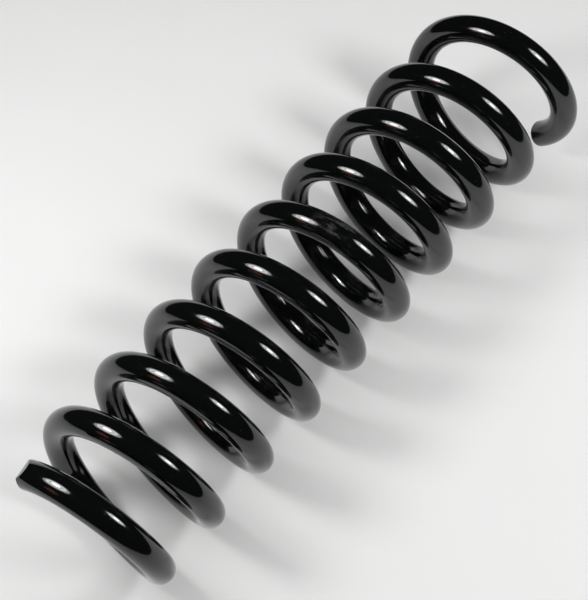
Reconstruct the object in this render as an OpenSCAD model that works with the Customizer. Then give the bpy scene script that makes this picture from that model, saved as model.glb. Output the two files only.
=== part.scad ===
// Coil spring of a vehicle's suspension, lying on its side.
// One round wire is wound right-handed about X. Both ends run out along the helix, with no closed or
// ground turn, and are cut square across the wire. The wire is divided at every quarter turn, because
// the quarters move along X past each other as the spring is squeezed.
// +X runs from the near tip to the far tip, and +Z is up. The origin is on the bench under the middle.

/* [Wire] */
// Diameter of the wire
wire_d = 14; // [10:0.5:16]
// Flats round the wire's section, a multiple of four
wire_sides = 16; // [12:4:24]

/* [Coil] */
// Diameter of the coil at the middle of the wire
coil_d = 78; // [70:1:110]
// Distance from one turn to the next along the axis
pitch = 35; // [30:1:45]
// Length of the whole wire in quarter turns
quarter_turns = 38; // [12:1:56]
// Angle from the near tip to the top of the first turn, in degrees
start_lead = 40.5; // [4.5:9:85.5]

/* [Ends] */
// How far the near tip is drawn in towards the second turn
near_tip_in = 2; // [0:0.2:4]
// How far the far tip is drawn in towards the turn before it
far_tip_in = 1.6; // [0:0.2:4]
// How far the last turn bows outward along the axis
far_bow = 4.4; // [0:0.2:6]
// How much the far tip's coil radius grows
far_flare = 1.6; // [0:0.2:4]
// How much wire is cut off the near end of the whole quarter turns
near_trim = 0.5; // [0:0.5:20]
// How much wire is cut off the far end of the whole quarter turns
far_trim = 5; // [0:0.5:20]

/* [Hidden] */
rings = 10;                                  // steps of the wire's surface along a quarter turn
wire_r = wire_d / 2;
coil_r = coil_d / 2;
turns = quarter_turns / 4;
turn_length = sqrt(pow(PI * coil_d, 2) + pow(pitch, 2));
near_end = near_trim / turn_length;          // turns, where the wire begins
far_end = turns - far_trim / turn_length;    // turns, where it ends
helix_angle = atan(pitch / (PI * coil_d));
slant_r = wire_r / cos(helix_angle);         // the wire's half width along X in a plane through the axis
small_step = 0.001;                          // turns, for the wire's direction

function two_digits(n) = n < 10 ? str("0", n) : str(n);
function quarter_name(i) = str("coil_", two_digits(floor(i / 4) + 1), "_quarter_", i % 4 + 1);

// Every place on the wire is given by t, the number of turns from where its first whole quarter begins.
// An end's own turn runs from 0 where it starts to 1 at the outer end of its whole quarter.
function near_turn(t) = max(0, 1 - t);
function far_turn(t) = max(0, 1 - (turns - t));
// A bow that starts and ends at 0 and reaches 1 at two thirds of the turn
function bow(s) = s * s * (1 - s) * 27 / 4;

function wire_x(t) = pitch * t
    + near_tip_in * pow(near_turn(t), 3)
    - far_tip_in * pow(far_turn(t), 3)
    + far_bow * bow(far_turn(t));
function wire_coil_r(t) = coil_r + far_flare * pow(far_turn(t), 2);
function clock(t) = 360 * t - start_lead;    // degrees past the top
function outward(t) = [0, -sin(clock(t)), cos(clock(t))];
function wire_middle(t) = [wire_x(t), 0, 0] + wire_coil_r(t) * outward(t);
function wire_direction(t) =
    let (step = wire_middle(t + small_step) - wire_middle(t - small_step))
    step / norm(step);

// The wire's outline where a plane through the coil's axis cuts it
function axial_ring(t) = [
    for (side = [0 : wire_sides - 1])
        let (turned = 360 * side / wire_sides)
        wire_middle(t) + wire_r * cos(turned) * outward(t) + [slant_r * sin(turned), 0, 0]
];

// The same outline slid along the wire into a square cut
function square_ring(t) =
    let (middle = wire_middle(t), along = wire_direction(t))
    [for (p = axial_ring(t)) p + along * ((middle - p) * along)];

function ring_at(t) = t == near_end || t == far_end ? square_ring(t) : axial_ring(t);

function quarter_start(i) = max(i / 4, near_end);
function quarter_stop(i) = min((i + 1) / 4, far_end);
function ring_place(i, k) =
    let (start = quarter_start(i), stop = quarter_stop(i))
    k == rings ? stop : start + (stop - start) * k / rings;

function quarter_points(i) = [for (k = [0 : rings]) each ring_at(ring_place(i, k))];

function quarter_faces() =
    let (last = rings * wire_sides)
    concat(
        [[for (side = [0 : wire_sides - 1]) side]],
        [
            for (k = [0 : rings - 1], side = [0 : wire_sides - 1])
                let (a = k * wire_sides + side, b = k * wire_sides + (side + 1) % wire_sides)
                each [[a, a + wire_sides, b], [b, a + wire_sides, b + wire_sides]]
        ],
        [[for (side = [wire_sides - 1 : -1 : 0]) last + side]]
    );

// The wire is shifted so that its lowest turns rest on the bench and its length is centred.
near_x = [for (p = quarter_points(0)) p[0]];
far_x = [for (p = quarter_points(quarter_turns - 1)) p[0]];
all_z = [for (i = [0 : quarter_turns - 1]) for (p = quarter_points(i)) p[2]];
rest_shift = [-(min(near_x) + max(far_x)) / 2, 0, -min(all_z)];

// One quarter turn of the wire
module quarter(i) {
    color("#17181a")
        translate(rest_shift)
            polyhedron(points = quarter_points(i), faces = quarter_faces(), convexity = 4);
}

for (i = [0 : quarter_turns - 1])
    quarter(i);
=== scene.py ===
"""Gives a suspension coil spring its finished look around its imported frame.

The file is laid out as a Blender add-on. Lengths are in metres in the frame's own axes: +X runs along
the coil from the near tip to the far tip, and +Z points up from the bench that the spring lies on.
"""

import math

import bpy
import numpy as np
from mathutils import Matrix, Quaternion, Vector


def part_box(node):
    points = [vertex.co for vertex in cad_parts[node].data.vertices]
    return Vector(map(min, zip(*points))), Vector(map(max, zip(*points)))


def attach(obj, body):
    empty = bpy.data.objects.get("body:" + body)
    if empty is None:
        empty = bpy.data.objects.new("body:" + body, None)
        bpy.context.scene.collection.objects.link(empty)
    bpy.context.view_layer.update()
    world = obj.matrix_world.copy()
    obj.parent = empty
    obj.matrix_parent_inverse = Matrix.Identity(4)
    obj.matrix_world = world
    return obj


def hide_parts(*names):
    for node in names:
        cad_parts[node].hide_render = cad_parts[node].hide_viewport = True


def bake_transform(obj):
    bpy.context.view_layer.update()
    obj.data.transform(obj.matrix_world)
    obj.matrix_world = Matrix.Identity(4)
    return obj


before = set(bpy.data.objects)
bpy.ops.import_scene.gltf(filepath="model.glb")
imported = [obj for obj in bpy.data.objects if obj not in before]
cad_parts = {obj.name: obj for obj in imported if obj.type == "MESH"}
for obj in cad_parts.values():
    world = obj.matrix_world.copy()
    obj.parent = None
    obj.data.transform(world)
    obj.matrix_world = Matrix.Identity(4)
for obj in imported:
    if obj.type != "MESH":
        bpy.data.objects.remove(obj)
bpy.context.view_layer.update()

bl_info = {
    "name": "Suspension Coil Spring",
    "version": (1, 0, 0),
    "blender": (4, 5, 0),
    "location": "3D View > Sidebar > Coil Spring",
    "description": "A coated coil spring whose turns close on each other, on a plain studio floor",
    "category": "Object",
}

QUARTERS = sorted(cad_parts)  # the wire's quarter turns, from the near tip to the far tip
PLACE = "rest_place"  # attribute: where a point of the surface is at rest
LIE = "wire_lie"  # attribute: how far along the wire it is, and which side of the wire it is on
QUARTER = 0.25  # turns
HALF_QUARTER = QUARTER / 2

SIDES = 40  # faces round the wire between the tips
TIP_SIDES = 80  # faces round the tips
STEPS = 30  # faces along a quarter turn
RIM_STEPS = 6  # faces round the edge of a cut
FINE_STEPS = 28  # faces along the wire next to a cut
CUT_SHARES = (0.1, 0.3, 0.5, 0.7, 0.85)  # where the rings on a cut lie, as shares of the way to its rim
SQUARED = 0.04  # turns over which the outline goes from a square cut to a plane through the axis

SHEET_REACH = 0.42  # half the width of the lit sheet that the spring lies on
FLOOR_REACH = 6.0  # half the width of the whole floor
# Each part of a lamp's diffuser: its share of the width, its brightness, its share of the lamp's distance
DIFFUSER_RINGS = (("halo", 1.0, 4.0, 1.0), ("diffuser", 0.74, 7.0, 0.99), ("bulb", 0.3, 25.0, 0.98))
GLOW_SIZE = (0.26, 0.016)  # width and height of each strip of the warm glow
GLOW_POWER = 0.07  # of each strip, in watts
GLOW_RISES = (0.0, -0.15)  # how far each strip is above the glow's place

MIX_LOW, MIX_HIGH, MIX_RESULT = 6, 7, 2  # the Mix node's sockets for colours
X = np.array([1.0, 0.0, 0.0])


class CoilSizes(bpy.types.PropertyGroup):
    """The wire and the coil that it is wound into."""

    wire_d: bpy.props.FloatProperty(
        name="Wire diameter",
        description="Thickness of the round wire with its paint",
        default=0.014,
        unit="LENGTH",
    )
    coil_d: bpy.props.FloatProperty(
        name="Coil diameter",
        description="Diameter of the coil at the middle of the wire",
        default=0.078,
        unit="LENGTH",
    )
    pitch: bpy.props.FloatProperty(
        name="Pitch",
        description="Distance from one turn to the next along the axis",
        default=0.035,
        unit="LENGTH",
    )
    start_lead: bpy.props.FloatProperty(
        name="Start lead",
        description="Angle from the near tip to the top of the first turn",
        default=math.radians(40.5),
        subtype="ANGLE",
    )
    near_tip_in: bpy.props.FloatProperty(
        name="Near tip drawn in",
        description="How far the near tip is drawn in towards the second turn",
        default=0.002,
        unit="LENGTH",
    )
    far_tip_in: bpy.props.FloatProperty(
        name="Far tip drawn in",
        description="How far the far tip is drawn in towards the turn before it",
        default=0.0016,
        unit="LENGTH",
    )
    far_bow: bpy.props.FloatProperty(
        name="Last turn's bow",
        description="How far the last turn bows outward along the axis",
        default=0.0044,
        unit="LENGTH",
    )
    far_flare: bpy.props.FloatProperty(
        name="Far flare",
        description="How much the far tip's coil radius grows",
        default=0.0016,
        unit="LENGTH",
    )
    near_trim: bpy.props.FloatProperty(
        name="Near trim",
        description="How much wire is cut off the near end of the whole quarter turns",
        default=0.0005,
        unit="LENGTH",
    )
    far_trim: bpy.props.FloatProperty(
        name="Far trim",
        description="How much wire is cut off the far end of the whole quarter turns",
        default=0.005,
        unit="LENGTH",
    )
    rim_r: bpy.props.FloatProperty(
        name="Cut edge radius",
        description="Rounding of the paint over the edge of each cut",
        default=0.0007,
        unit="LENGTH",
    )
    hollow: bpy.props.FloatProperty(
        name="Cut hollow",
        description="How deep the shear has left the middle of each cut",
        default=0.0004,
        unit="LENGTH",
    )
    flat_h: bpy.props.FloatProperty(
        name="Flat height",
        description="How far from the middle of the wire the flat on the near tip meets the cut",
        default=0.0045,
        unit="LENGTH",
    )
    flat_tilt: bpy.props.FloatProperty(
        name="Flat tilt",
        description="Slope of that flat towards the cut",
        default=math.radians(20),
        subtype="ANGLE",
    )
    flat_lean: bpy.props.FloatProperty(
        name="Flat lean",
        description="How far that flat leans away from the rest of the coil",
        default=math.radians(6),
        subtype="ANGLE",
    )


class PaintLook(bpy.types.PropertyGroup):
    """The gloss coat on the wire."""

    black: bpy.props.FloatVectorProperty(
        name="Black",
        description="Colour of the clean paint",
        default=(0.0016, 0.002, 0.002),
        subtype="COLOR",
    )
    dust: bpy.props.FloatVectorProperty(
        name="Dust",
        description="Colour of dust and scuffed paint",
        default=(0.16, 0.155, 0.15),
        subtype="COLOR",
    )
    gloss: bpy.props.FloatProperty(
        name="Roughness",
        description="Roughness of the clean, glossy paint",
        default=0.075,
        min=0,
        max=1,
    )
    scuff_at: bpy.props.FloatProperty(
        name="Scuff",
        description="How far along the wire the middle of the scuffed patch is",
        default=1.271,
        unit="LENGTH",
    )
    scuff_reach: bpy.props.FloatProperty(
        name="Scuff reach",
        description="How far the scuffed patch reaches each way along the wire",
        default=0.012,
        unit="LENGTH",
    )
    peel_depth: bpy.props.FloatProperty(
        name="Orange peel",
        description="Height of the paint's fine waves",
        default=0.000012,
        unit="LENGTH",
    )
    refractive_index: bpy.props.FloatProperty(
        name="Refractive index",
        description="Sets how strongly the paint reflects",
        default=1.62,
        min=1,
    )
    cut_dulled: bpy.props.FloatProperty(
        name="Dulled on the cuts",
        description="How much rougher the paint is on the cut ends",
        default=0.16,
    )
    tear_depth: bpy.props.FloatProperty(
        name="Tears",
        description="Depth of the marks that the shear left on the cut ends",
        default=0.000144,
        unit="LENGTH",
    )


class StageLook(bpy.types.PropertyGroup):
    """The floor, the lamps and the camera."""

    floor: bpy.props.FloatVectorProperty(
        name="Floor",
        description="Colour of the paper floor",
        default=(0.83, 0.83, 0.825),
        subtype="COLOR",
    )
    room: bpy.props.FloatProperty(
        name="Room",
        description="Brightness of the dim room that the paint reflects",
        default=0.021,
    )
    soft_light: bpy.props.FloatProperty(
        name="Soft light",
        description="Brightness of the even light that falls on the floor from all round",
        default=0.545,
    )
    backdrop: bpy.props.FloatProperty(
        name="Backdrop",
        description="Brightness of the backdrop behind the floor's far edge",
        default=0.6,
    )
    left_lamp: bpy.props.FloatVectorProperty(
        name="Left lamp",
        description="Where the lamp at the camera's left hangs",
        default=(-0.213, 0.207, 0.385),
        subtype="TRANSLATION",
    )
    right_lamp: bpy.props.FloatVectorProperty(
        name="Right lamp",
        description="Where the lamp at the camera's right hangs",
        default=(0.175, -0.298, 0.441),
        subtype="TRANSLATION",
    )
    lamp_d: bpy.props.FloatProperty(
        name="Lamp width",
        description="Width of each lamp, which sets how soft the shadows are",
        default=0.14,
        unit="LENGTH",
    )
    lamp_power: bpy.props.FloatProperty(
        name="Lamp power",
        description="Power of the left lamp",
        default=0.875,
        unit="POWER",
    )
    right_share: bpy.props.FloatProperty(
        name="Right lamp's share",
        description="Power of the right lamp as a share of the left lamp's",
        default=1.27,
    )
    diffuser_d: bpy.props.FloatProperty(
        name="Diffuser",
        description="Width of the round diffuser that the paint reflects in front of each lamp",
        default=0.25,
        unit="LENGTH",
    )
    glow: bpy.props.FloatVectorProperty(
        name="Glow",
        description="Where the faint warm glow across the room is",
        default=(-1.01, 0.456, 0.6),
        subtype="TRANSLATION",
    )
    glow_colour: bpy.props.FloatVectorProperty(
        name="Glow colour",
        description="Colour of that glow",
        default=(1.0, 0.3, 0.16),
        subtype="COLOR",
    )
    aim: bpy.props.FloatVectorProperty(
        name="Aim",
        description="The point that the camera looks at, from the middle of the coil's axis",
        default=(-0.0106, -0.0004, 0.0),
        subtype="TRANSLATION",
    )
    heading: bpy.props.FloatProperty(
        name="Heading",
        description="Direction of the camera's view, from +X towards +Y",
        default=math.radians(38.23),
        subtype="ANGLE",
    )
    dip: bpy.props.FloatProperty(
        name="Dip",
        description="How far the camera looks down",
        default=math.radians(62.35),
        subtype="ANGLE",
    )
    roll: bpy.props.FloatProperty(
        name="Roll",
        description="How far the camera leans",
        default=math.radians(1.16),
        subtype="ANGLE",
    )
    distance: bpy.props.FloatProperty(
        name="Distance",
        description="From the camera to the point that it looks at",
        default=0.7428,
        unit="LENGTH",
    )
    lens: bpy.props.FloatProperty(
        name="Lens",
        description="Focal length in millimetres on a full frame",
        default=91.1,
    )


class Wire:
    """The wire's path. A place on it is given by its turn, from 0 where its first quarter turn begins."""

    def __init__(self, sizes):
        self.sizes = sizes
        self.r = sizes.wire_d / 2
        self.coil_r = sizes.coil_d / 2
        self.turns = len(QUARTERS) * QUARTER
        self.slant_r = self.r / math.cos(math.atan(sizes.pitch / (math.pi * sizes.coil_d)))
        self.turn_length = math.hypot(math.pi * sizes.coil_d, sizes.pitch)
        self.near_end = sizes.near_trim / self.turn_length
        self.far_end = self.turns - sizes.far_trim / self.turn_length
        middle = len(QUARTERS) // 2
        low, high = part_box(QUARTERS[middle])
        self.near_x = 0.0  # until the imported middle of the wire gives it
        self.near_x = (low[0] + high[0]) / 2 - self.x_at((middle + 0.5) * QUARTER)
        boxes = [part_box(name) for name in QUARTERS[middle : middle + 4]]
        lowest = min(low[2] for low, high in boxes)
        highest = max(high[2] for low, high in boxes)
        self.axis_z = (lowest + highest) / 2

    def x_at(self, turn):
        sizes = self.sizes
        near = max(0.0, 1 - turn)
        far = max(0.0, 1 - (self.turns - turn))
        bow = far * far * (1 - far) * 27 / 4  # starts and ends at 0 and reaches 1 at two thirds of the turn
        drawn_in = sizes.near_tip_in * near**3 - sizes.far_tip_in * far**3
        return self.near_x + sizes.pitch * turn + drawn_in + sizes.far_bow * bow

    def outward(self, turn):
        """The direction from the coil's axis to the wire."""
        past_top = math.tau * turn - self.sizes.start_lead
        return np.array([0.0, -math.sin(past_top), math.cos(past_top)])

    def middle(self, turn):
        far = max(0.0, 1 - (self.turns - turn))
        reach = self.coil_r + self.sizes.far_flare * far * far
        return np.array([self.x_at(turn), 0.0, self.axis_z]) + reach * self.outward(turn)

    def direction(self, turn, step=0.001):
        way = self.middle(turn + step) - self.middle(turn - step)
        return way / np.linalg.norm(way)

    def near_flat(self):
        """A point and the normal of the flat that the cutter has pressed into the near tip."""
        sizes = self.sizes
        out, facing = self.outward(self.near_end), -self.direction(self.near_end)
        normal = out + math.tan(sizes.flat_tilt) * facing - math.tan(sizes.flat_lean) * X
        return self.middle(self.near_end) + sizes.flat_h * out, normal / np.linalg.norm(normal)

    def chord(self, joint, step=0.01):
        """Two points, before and after a joint, at either side of the coil's axis."""
        ahead = self.outward(joint + step) - self.outward(joint - step)
        ahead *= (self.coil_r - self.r) * math.sin(math.tau * HALF_QUARTER) / np.linalg.norm(ahead)
        axis = np.array([0.0, 0.0, self.axis_z])
        return tuple(axis - ahead), tuple(axis + ahead)

    def check(self, slack=0.001):
        """Stops if the sizes don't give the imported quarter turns."""
        for k, name in enumerate(QUARTERS):
            start = max(k * QUARTER, self.near_end)
            stop = min((k + 1) * QUARTER, self.far_end)
            rings = np.concatenate([self.ring(turn)[0] for turn in np.linspace(start, stop, 5)])
            low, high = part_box(name)
            gap = max(np.abs(rings.min(0) - low).max(), np.abs(rings.max(0) - high).max())
            if gap > slack:
                raise RuntimeError(f"{name} is {gap * 1000:.2f} mm away from the packed part")

    def ring(self, turn, sides=SIDES, square=0.0):
        """The outline and its normals, in a plane through the coil's axis or, where square is 1, a cut."""
        middle, way, out = self.middle(turn), self.direction(turn), self.outward(turn)
        round_it = np.arange(sides) * math.tau / sides
        spokes = self.r * np.cos(round_it)[:, None] * out + self.slant_r * np.sin(round_it)[:, None] * X
        slide = (spokes @ way)[:, None] * way
        normals = spokes - slide
        normals /= np.linalg.norm(normals, axis=1)[:, None]
        return middle + spokes - square * slide, normals


class Skin:
    """Rings of points that become one closed piece of wire."""

    def __init__(self, wire, sides=SIDES):
        self.wire = wire
        self.sides = sides
        self.points, self.normals, self.lies = [], [], []
        self.cut_rings = 0  # how many rings lie on the cut, which comes first in the lists

    def add(self, points, normals, turn, share=1.0):
        """A ring whose points lie at this share of the wire's radius."""
        round_it = np.arange(self.sides) * math.tau / self.sides
        across = share * self.wire.r * np.stack([np.cos(round_it), np.sin(round_it)], 1)
        along = np.full((self.sides, 1), turn * self.wire.turn_length)
        self.points.append(points)
        self.normals.append(normals)
        self.lies.append(np.hstack([along, across]))

    def sweep(self, turns):
        """A ring of the plain wire at each of these turns."""
        for turn in turns:
            self.add(*self.wire.ring(turn, self.sides), turn)

    def cut_end(self, end, other, way_in):
        """The wire from its cut to another place. The way in is 1 at the near end and -1 at the far end."""
        wire, sizes = self.wire, self.wire.sizes
        rim, middle = sizes.rim_r, wire.middle(end)
        facing = -way_in * wire.direction(end)
        spokes = wire.ring(end, self.sides, 1.0)[1]
        for share in CUT_SHARES:
            hollow = sizes.hollow * (1 - share * share)
            reach = share * (wire.r - rim)
            self.add(middle + spokes * reach - facing * hollow, spokes * 0 + facing, end, share)
        self.cut_rings = len(self.points)
        for k in range(RIM_STEPS, 0, -1):
            lean = math.tau / 4 * k / RIM_STEPS
            reach = wire.r - rim * (1 - math.cos(lean))
            spot = middle + spokes * reach - facing * rim * (1 - math.sin(lean))
            self.add(spot, spokes * math.cos(lean) + facing * math.sin(lean), end)
        start = end + way_in * rim / wire.turn_length
        for k in range(FINE_STEPS):
            share = k / FINE_STEPS
            turn = start + way_in * SQUARED * share
            self.add(*wire.ring(turn, self.sides, 1 - share), turn)
        self.sweep(np.linspace(start + way_in * SQUARED, other, STEPS // 3))

    def press_flat(self, point, normal, soft=0.00015):
        """Presses everything above a plane down onto it, with a softened edge."""
        for points, normals in zip(self.points, self.normals):
            above = (points - point) @ normal
            eased = np.clip(above + soft, 0, 2 * soft) ** 2 / (4 * soft)
            moved = np.where(above > soft, above, eased)
            share = np.clip((above + soft) / (2 * soft), 0, 1)[:, None]
            points -= moved[:, None] * normal
            normals += share * (normal - normals)
            normals /= np.linalg.norm(normals, axis=1)[:, None]

    def turn_round(self):
        """Puts the rings in the order of the wire, for a piece that was made from its far end."""
        for rings in (self.points, self.normals, self.lies):
            rings.reverse()

    def object(self, name, reversed_order=False):
        """The closed mesh. Its faces on the cut take the second finish."""
        if reversed_order:
            self.turn_round()
        sides, count = self.sides, len(self.points)
        faces = [list(range(sides))]
        for k in range(count - 1):
            for side in range(sides):
                a, b = k * sides + side, k * sides + (side + 1) % sides
                faces.append([a + sides, b + sides, b, a])
        faces.append([count * sides - 1 - side for side in range(sides)])
        points = np.concatenate(self.points)
        mesh = bpy.data.meshes.new(name)
        mesh.from_pydata(points.tolist(), [], faces)
        for label, values in ((PLACE, points), (LIE, np.concatenate(self.lies))):
            attribute = mesh.attributes.new(label, "FLOAT_VECTOR", "POINT")
            attribute.data.foreach_set("vector", values.astype(np.float32).ravel())
        mesh.shade_smooth()
        cut_faces = 1 + (self.cut_rings - 1) * sides if self.cut_rings else 0
        on_cut = range(len(faces) - cut_faces, len(faces)) if reversed_order else range(cut_faces)
        for index in on_cut:
            mesh.polygons[index].material_index = 1
        self.set_normals(mesh)
        piece = bpy.data.objects.new(name, mesh)
        bpy.context.scene.collection.objects.link(piece)
        return piece

    def set_normals(self, mesh):
        """Gives each corner the wire's true normal, so that neighbouring pieces shade as one."""
        smooth = np.concatenate(self.normals)
        flat_faces = {0, len(mesh.polygons) - 1}
        corners = []
        for face in mesh.polygons:
            for corner in face.loop_indices:
                vertex = mesh.loops[corner].vertex_index
                corners.append(tuple(face.normal if face.index in flat_faces else smooth[vertex]))
        mesh.normals_split_custom_set(corners)


class Wired:
    """A node's output that takes part in sums. Each operator adds a Math node."""

    def __init__(self, finish, socket):
        self.finish = finish
        self.socket = socket

    def math(self, operation, *values, clamp=False):
        settings = {"operation": operation, "use_clamp": clamp}
        return self.finish.node("ShaderNodeMath", settings, dict(enumerate(values)))

    def __add__(self, other):
        return self.math("ADD", self, other)

    def __sub__(self, other):
        return self.math("SUBTRACT", self, other)

    def __rsub__(self, other):
        return self.math("SUBTRACT", other, self)

    def __mul__(self, other):
        return self.math("MULTIPLY", self, other)

    def __truediv__(self, other):
        return self.math("DIVIDE", self, other)

    __radd__ = __add__
    __rmul__ = __mul__

    def clipped(self):
        """Its value held between 0 and 1."""
        return self.math("ADD", self, 0.0, clamp=True)

    def distance(self):
        """Its value without the sign."""
        return self.math("ABSOLUTE", self)

    def above(self, level, soft):
        """0 below the level, 1 from the level plus soft upward."""
        return ((self - level) / soft).clipped()


class Finish:
    """A material under construction."""

    def __init__(self, name):
        self.material = bpy.data.materials.new(name)
        self.material.use_nodes = True
        self.tree = self.material.node_tree
        self.tree.nodes.clear()

    def node(self, kind, settings=None, inputs=None, output=0):
        """Adds a node. The settings come first, because they can change which sockets it has."""
        made = self.tree.nodes.new(kind)
        for name, value in (settings or {}).items():
            setattr(made, name, value)
        for name, value in (inputs or {}).items():
            if isinstance(value, Wired):
                self.tree.links.new(value.socket, made.inputs[name])
            else:
                made.inputs[name].default_value = value
        return Wired(self, made.outputs[output])

    def noise(self, place, scale, detail, roughness):
        inputs = {"Vector": place, "Scale": scale, "Detail": detail, "Roughness": roughness}
        return self.node("ShaderNodeTexNoise", {"noise_dimensions": "3D"}, inputs)

    def stretched_noise(self, place, scales, detail, roughness):
        """Noise with a scale for each axis, for a pattern that is longer one way."""
        scaled = self.node("ShaderNodeVectorMath", {"operation": "MULTIPLY"}, {0: place, 1: scales})
        return self.noise(scaled, 1.0, detail, roughness)

    def attribute(self, name):
        """A vector that the mesh holds for each point."""
        return self.node("ShaderNodeAttribute", {"attribute_name": name}, output="Vector")

    def split(self, vector, axis):
        """One number of a vector."""
        return self.node("ShaderNodeSeparateXYZ", None, {"Vector": vector}, output=axis)

    def blend(self, share, low, high):
        """From one colour to another."""
        inputs = {"Factor": share, MIX_LOW: (*low, 1.0), MIX_HIGH: (*high, 1.0)}
        return self.node("ShaderNodeMix", {"data_type": "RGBA"}, inputs, output=MIX_RESULT)

    def bump(self, height, distance):
        return self.node("ShaderNodeBump", None, {"Height": height, "Distance": distance})

    def done(self, surface):
        end = self.tree.nodes.new("ShaderNodeOutputMaterial")
        self.tree.links.new(surface.socket, end.inputs["Surface"])
        return self.material


def paint(look):
    """Gloss black paint over wire that was drawn through a die, with a little handling wear."""
    finish = Finish("gloss_black_paint")
    place = finish.attribute(PLACE)
    lie = finish.attribute(LIE)
    along, outward = finish.split(lie, "X"), finish.split(lie, "Y")

    waves = finish.noise(place, 420, detail=1.5, roughness=0.4)
    slow_waves = finish.noise(place, 130, detail=1.0, roughness=0.4)
    smudges = finish.noise(place, 45, detail=4.0, roughness=0.6).above(0.5, 0.22)
    draw_lines = finish.stretched_noise(lie, (14, 900, 900), detail=2.0, roughness=0.5).above(0.6, 0.2)

    specks = finish.noise(place, 1500, detail=1.0, roughness=0.4).above(0.75, 0.05)
    dusty = finish.noise(place, 60, detail=3.0, roughness=0.6).above(0.5, 0.15)
    dust = specks * dusty

    rub = finish.stretched_noise(lie, (90, 500, 260), detail=4.0, roughness=0.7).above(0.49, 0.16)
    from_scuff = (along - look.scuff_at).distance()
    rubbed = rub * (1.0 - from_scuff.above(look.scuff_reach / 2, look.scuff_reach / 2))

    # Marks from the bar that the wire was wound round
    inside = (0.0 - outward).above(0.001, 0.003)
    drag = finish.stretched_noise(lie, (70, 1300, 1300), detail=3.0, roughness=0.6).above(0.6, 0.08) * inside

    pale = (drag * 0.04 + dust * 0.6 + rubbed * 0.3).clipped()
    wear = smudges * 0.035 + draw_lines * 0.02 + dust * 0.3 + rubbed * 0.12 + drag * 0.08
    height = waves * 0.5 + slow_waves + draw_lines * 0.15 + dust * 1.5 + drag * 0.8
    surface = finish.node(
        "ShaderNodeBsdfPrincipled",
        None,
        {
            "Base Color": finish.blend(pale, look.black, look.dust),
            "Roughness": look.gloss + wear,
            "IOR": look.refractive_index,
            "Normal": finish.bump(height, look.peel_depth),
        },
    )
    return finish.done(surface)


def cut_paint(look):
    """Thinner paint over the coarse, sheared face at each end of the wire."""
    finish = Finish("painted_cut")
    lie = finish.attribute(LIE)
    tears = finish.stretched_noise(lie, (300, 260, 1500), detail=4.0, roughness=0.65)
    grain = finish.noise(lie, 2600, detail=3.0, roughness=0.6)
    bare = (tears * grain).above(0.34, 0.1)
    surface = finish.node(
        "ShaderNodeBsdfPrincipled",
        None,
        {
            "Base Color": finish.blend(bare, look.black, look.dust),
            "Roughness": grain * 0.2 + (look.gloss + look.cut_dulled),
            "IOR": look.refractive_index,
            "Normal": finish.bump(tears + grain * 0.3, look.tear_depth),
        },
    )
    return finish.done(surface)


def paper(look):
    """Matt pale paper, a little uneven."""
    finish = Finish("pale_paper")
    place = finish.node("ShaderNodeTexCoord", output="Object")
    cloudy = finish.noise(place, 3.0, detail=3.0, roughness=0.5).above(0.3, 0.4)
    fibres = finish.noise(place, 900, detail=3.0, roughness=0.6)
    darker = tuple(value * 0.95 for value in look.floor)
    surface = finish.node(
        "ShaderNodeBsdfPrincipled",
        None,
        {
            "Base Color": finish.blend(cloudy, look.floor, darker),
            "Roughness": 0.85,
            "Specular IOR Level": 0.15,
            "Normal": finish.bump(fibres, 0.00004),
        },
    )
    return finish.done(surface)


def finish_called(name, maker, look):
    """The finish of that name, made by its maker the first time."""
    return bpy.data.materials.get(name) or maker(look)


def dress(piece, look, node_names):
    """Paints a piece and its cut, and lets it stand for the wire's quarter turns that it covers."""
    piece.data.materials.append(finish_called("gloss_black_paint", paint, look))
    if max(face.material_index for face in piece.data.polygons):
        piece.data.materials.append(finish_called("painted_cut", cut_paint, look))
    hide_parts(*node_names)


class SPRING_OT_near_tip(bpy.types.Operator):
    """Makes the near end of the wire, up to the middle of its first quarter turn"""

    bl_idname = "coil_spring.near_tip"
    bl_label = "Near Tip"

    def execute(self, context):
        scene = context.scene
        wire = Wire(scene.spring_sizes)
        skin = Skin(wire, TIP_SIDES)
        skin.cut_end(wire.near_end, HALF_QUARTER, 1)
        skin.press_flat(*wire.near_flat())
        piece = skin.object("near_tip")
        dress(piece, scene.spring_paint, QUARTERS[:1])
        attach(piece, QUARTERS[0])
        return {"FINISHED"}


class SPRING_OT_spans(bpy.types.Operator):
    """Makes the wire between the tips, one span across each joint of the quarter turns"""

    bl_idname = "coil_spring.spans"
    bl_label = "Spans"

    def execute(self, context):
        scene = context.scene
        wire = Wire(scene.spring_sizes)
        wire.check()
        for k in range(len(QUARTERS) - 1):
            joint = (k + 1) * QUARTER
            skin = Skin(wire)
            skin.sweep(np.linspace(joint - HALF_QUARTER, joint + HALF_QUARTER, STEPS + 1))
            piece = skin.object(f"span_{k + 1:02d}")
            dress(piece, scene.spring_paint, QUARTERS[k : k + 2])
            start, end = wire.chord(joint)
            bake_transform(piece)
        return {"FINISHED"}


class SPRING_OT_far_tip(bpy.types.Operator):
    """Makes the far end of the wire, from the middle of its last quarter turn"""

    bl_idname = "coil_spring.far_tip"
    bl_label = "Far Tip"

    def execute(self, context):
        scene = context.scene
        wire = Wire(scene.spring_sizes)
        skin = Skin(wire, TIP_SIDES)
        skin.cut_end(wire.far_end, wire.turns - HALF_QUARTER, -1)
        piece = skin.object("far_tip", reversed_order=True)
        dress(piece, scene.spring_paint, QUARTERS[-1:])
        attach(piece, QUARTERS[-1])
        return {"FINISHED"}


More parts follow.
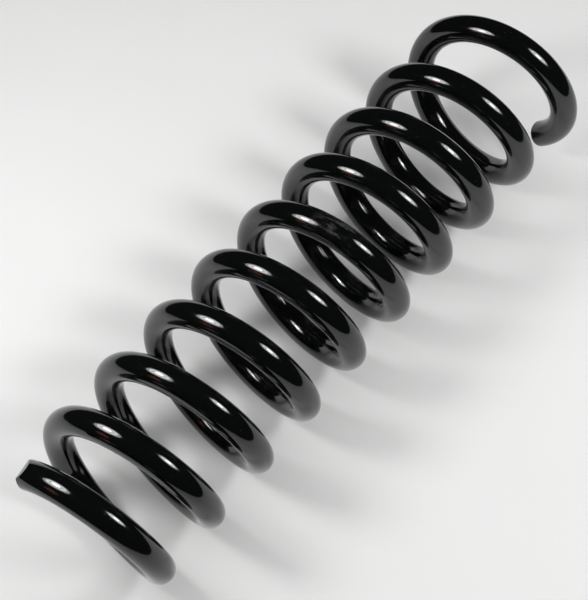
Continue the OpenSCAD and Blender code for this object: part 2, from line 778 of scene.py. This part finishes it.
class SPRING_OT_stage(bpy.types.Operator):
    """Makes the floor, the lamps, the dim room and the camera"""

    bl_idname = "coil_spring.stage"
    bl_label = "Stage"

    def execute(self, context):
        scene = context.scene
        wire = Wire(scene.spring_sizes)
        look = scene.spring_stage
        self.floor(look, wire)
        right_power = look.lamp_power * look.right_share
        lamps = (("left", look.left_lamp, look.lamp_power), ("right", look.right_lamp, right_power))
        for side, place, power in lamps:
            lamp = self.lamp(f"{side}_lamp", place, look.lamp_d, power, wire)
            lamp.visible_glossy = False
            self.shine(side, Vector(place), look.diffuser_d, wire)
        self.warm_glow(look, wire)
        self.room(scene, look)
        self.camera(scene, look, wire)
        return {"FINISHED"}

    def floor(self, look, wire):
        """A sheet under the spring, and the same paper beyond it, which the paint doesn't reflect."""
        level = wire.axis_z - wire.coil_r - wire.r
        square = ((-1, -1), (1, -1), (1, 1), (-1, 1))
        inner = [(x * SHEET_REACH, y * SHEET_REACH, level) for x, y in square]
        outer = [(x * FLOOR_REACH, y * FLOOR_REACH, level) for x, y in square]
        border = [[4 + k, 4 + (k + 1) % 4, (k + 1) % 4, k] for k in range(4)]
        self.paper_sheet("floor_sheet", inner, [[0, 1, 2, 3]], look)
        beyond = self.paper_sheet("floor_beyond", inner + outer, border, look)
        beyond.visible_glossy = False

    def paper_sheet(self, name, corners, faces, look):
        mesh = bpy.data.meshes.new(name)
        mesh.from_pydata(corners, [], faces)
        mesh.materials.append(finish_called("pale_paper", paper, look))
        sheet = bpy.data.objects.new(name, mesh)
        bpy.context.scene.collection.objects.link(sheet)
        return sheet

    def lamp(self, name, place, width, power, wire):
        """A round lamp that faces the spring."""
        light = bpy.data.lights.new(name, "AREA")
        light.shape = "DISK"
        light.size = width
        light.energy = power
        lamp = bpy.data.objects.new(name, light)
        lamp.location = place
        lamp.rotation_mode = "QUATERNION"
        to_spring = Vector((0, 0, wire.axis_z)) - Vector(place)
        lamp.rotation_quaternion = to_spring.to_track_quat("-Z", "Y")
        bpy.context.scene.collection.objects.link(lamp)
        return lamp

    def shine(self, side, place, width, wire):
        """What the paint reflects of a lamp: a diffuser that is brighter towards its middle."""
        for name, share, brightness, nearer in DIFFUSER_RINGS:
            reach = width * share
            power = brightness * math.pi * math.pi * (reach / 2) ** 2
            ring = self.lamp(f"{side}_{name}", place * nearer, reach, power, wire)
            ring.visible_diffuse = False

    def warm_glow(self, look, wire):
        """Two thin strips of warm light that only the paint's reflections show."""
        for k, rise in enumerate(GLOW_RISES):
            place = Vector(look.glow) + Vector((0, 0, rise))
            glow = self.lamp(f"glow_{k + 1}", place, GLOW_SIZE[0], GLOW_POWER, wire)
            glow.data.shape = "RECTANGLE"
            glow.data.size_y = GLOW_SIZE[1]
            glow.data.color = look.glow_colour
            glow.visible_diffuse = False

    def room(self, scene, look):
        """A dim room in the paint's reflections, even light on the floor and a pale backdrop."""
        world = bpy.data.worlds.new("studio")
        world.use_nodes = True
        tree = world.node_tree
        background = tree.nodes["Background"]
        background.inputs["Color"].default_value = (1, 1, 1, 1)
        path = tree.nodes.new("ShaderNodeLightPath")
        lit, seen = tree.nodes.new("ShaderNodeMix"), tree.nodes.new("ShaderNodeMix")
        lit.inputs["A"].default_value = look.room
        lit.inputs["B"].default_value = look.soft_light
        seen.inputs["B"].default_value = look.backdrop
        tree.links.new(path.outputs["Is Diffuse Ray"], lit.inputs["Factor"])
        tree.links.new(lit.outputs["Result"], seen.inputs["A"])
        tree.links.new(path.outputs["Is Camera Ray"], seen.inputs["Factor"])
        tree.links.new(seen.outputs["Result"], background.inputs["Strength"])
        scene.world = world
        scene.view_settings.view_transform = "Standard"

    def camera(self, scene, look, wire):
        data = bpy.data.cameras.new("camera")
        data.lens = look.lens
        data.clip_start = 0.01
        camera = bpy.data.objects.new("camera", data)
        level = math.cos(look.dip)
        view = Vector((level * math.cos(look.heading), level * math.sin(look.heading), -math.sin(look.dip)))
        camera.rotation_mode = "QUATERNION"
        camera.rotation_quaternion = view.to_track_quat("-Z", "Y") @ Quaternion((0, 0, 1), look.roll)
        camera.location = Vector((0, 0, wire.axis_z)) + Vector(look.aim) - view * look.distance
        scene.collection.objects.link(camera)
        scene.camera = camera


class SPRING_PT_panel(bpy.types.Panel):
    """Lists the spring's sizes and colours, and the operators that make it."""

    bl_label = "Coil Spring"
    bl_idname = "SPRING_PT_panel"
    bl_space_type = "VIEW_3D"
    bl_region_type = "UI"
    bl_category = "Coil Spring"

    def draw(self, context):
        scene = context.scene
        for group_name, title, _ in GROUPS:
            group = getattr(scene, group_name)
            box = self.layout.box()
            box.label(text=title)
            for name in group.bl_rna.properties.keys():
                if name not in ("rna_type", "name"):
                    box.prop(group, name)
        for operator in OPERATORS:
            self.layout.operator(operator.bl_idname)


OPERATORS = (SPRING_OT_near_tip, SPRING_OT_spans, SPRING_OT_far_tip, SPRING_OT_stage)
GROUPS = (
    ("spring_sizes", "Coil", CoilSizes),
    ("spring_paint", "Paint", PaintLook),
    ("spring_stage", "Stage", StageLook),
)


def register():
    for name, _, group in GROUPS:
        bpy.utils.register_class(group)
        setattr(bpy.types.Scene, name, bpy.props.PointerProperty(type=group))
    for operator in OPERATORS:
        bpy.utils.register_class(operator)
    bpy.utils.register_class(SPRING_PT_panel)


def unregister():
    bpy.utils.unregister_class(SPRING_PT_panel)
    for operator in reversed(OPERATORS):
        bpy.utils.unregister_class(operator)
    for name, _, group in GROUPS:
        delattr(bpy.types.Scene, name)
        bpy.utils.unregister_class(group)


def main():
    register()
    bpy.ops.coil_spring.near_tip()
    bpy.ops.coil_spring.spans()
    bpy.ops.coil_spring.far_tip()
    bpy.ops.coil_spring.stage()


if __name__ == "__main__":
    main()
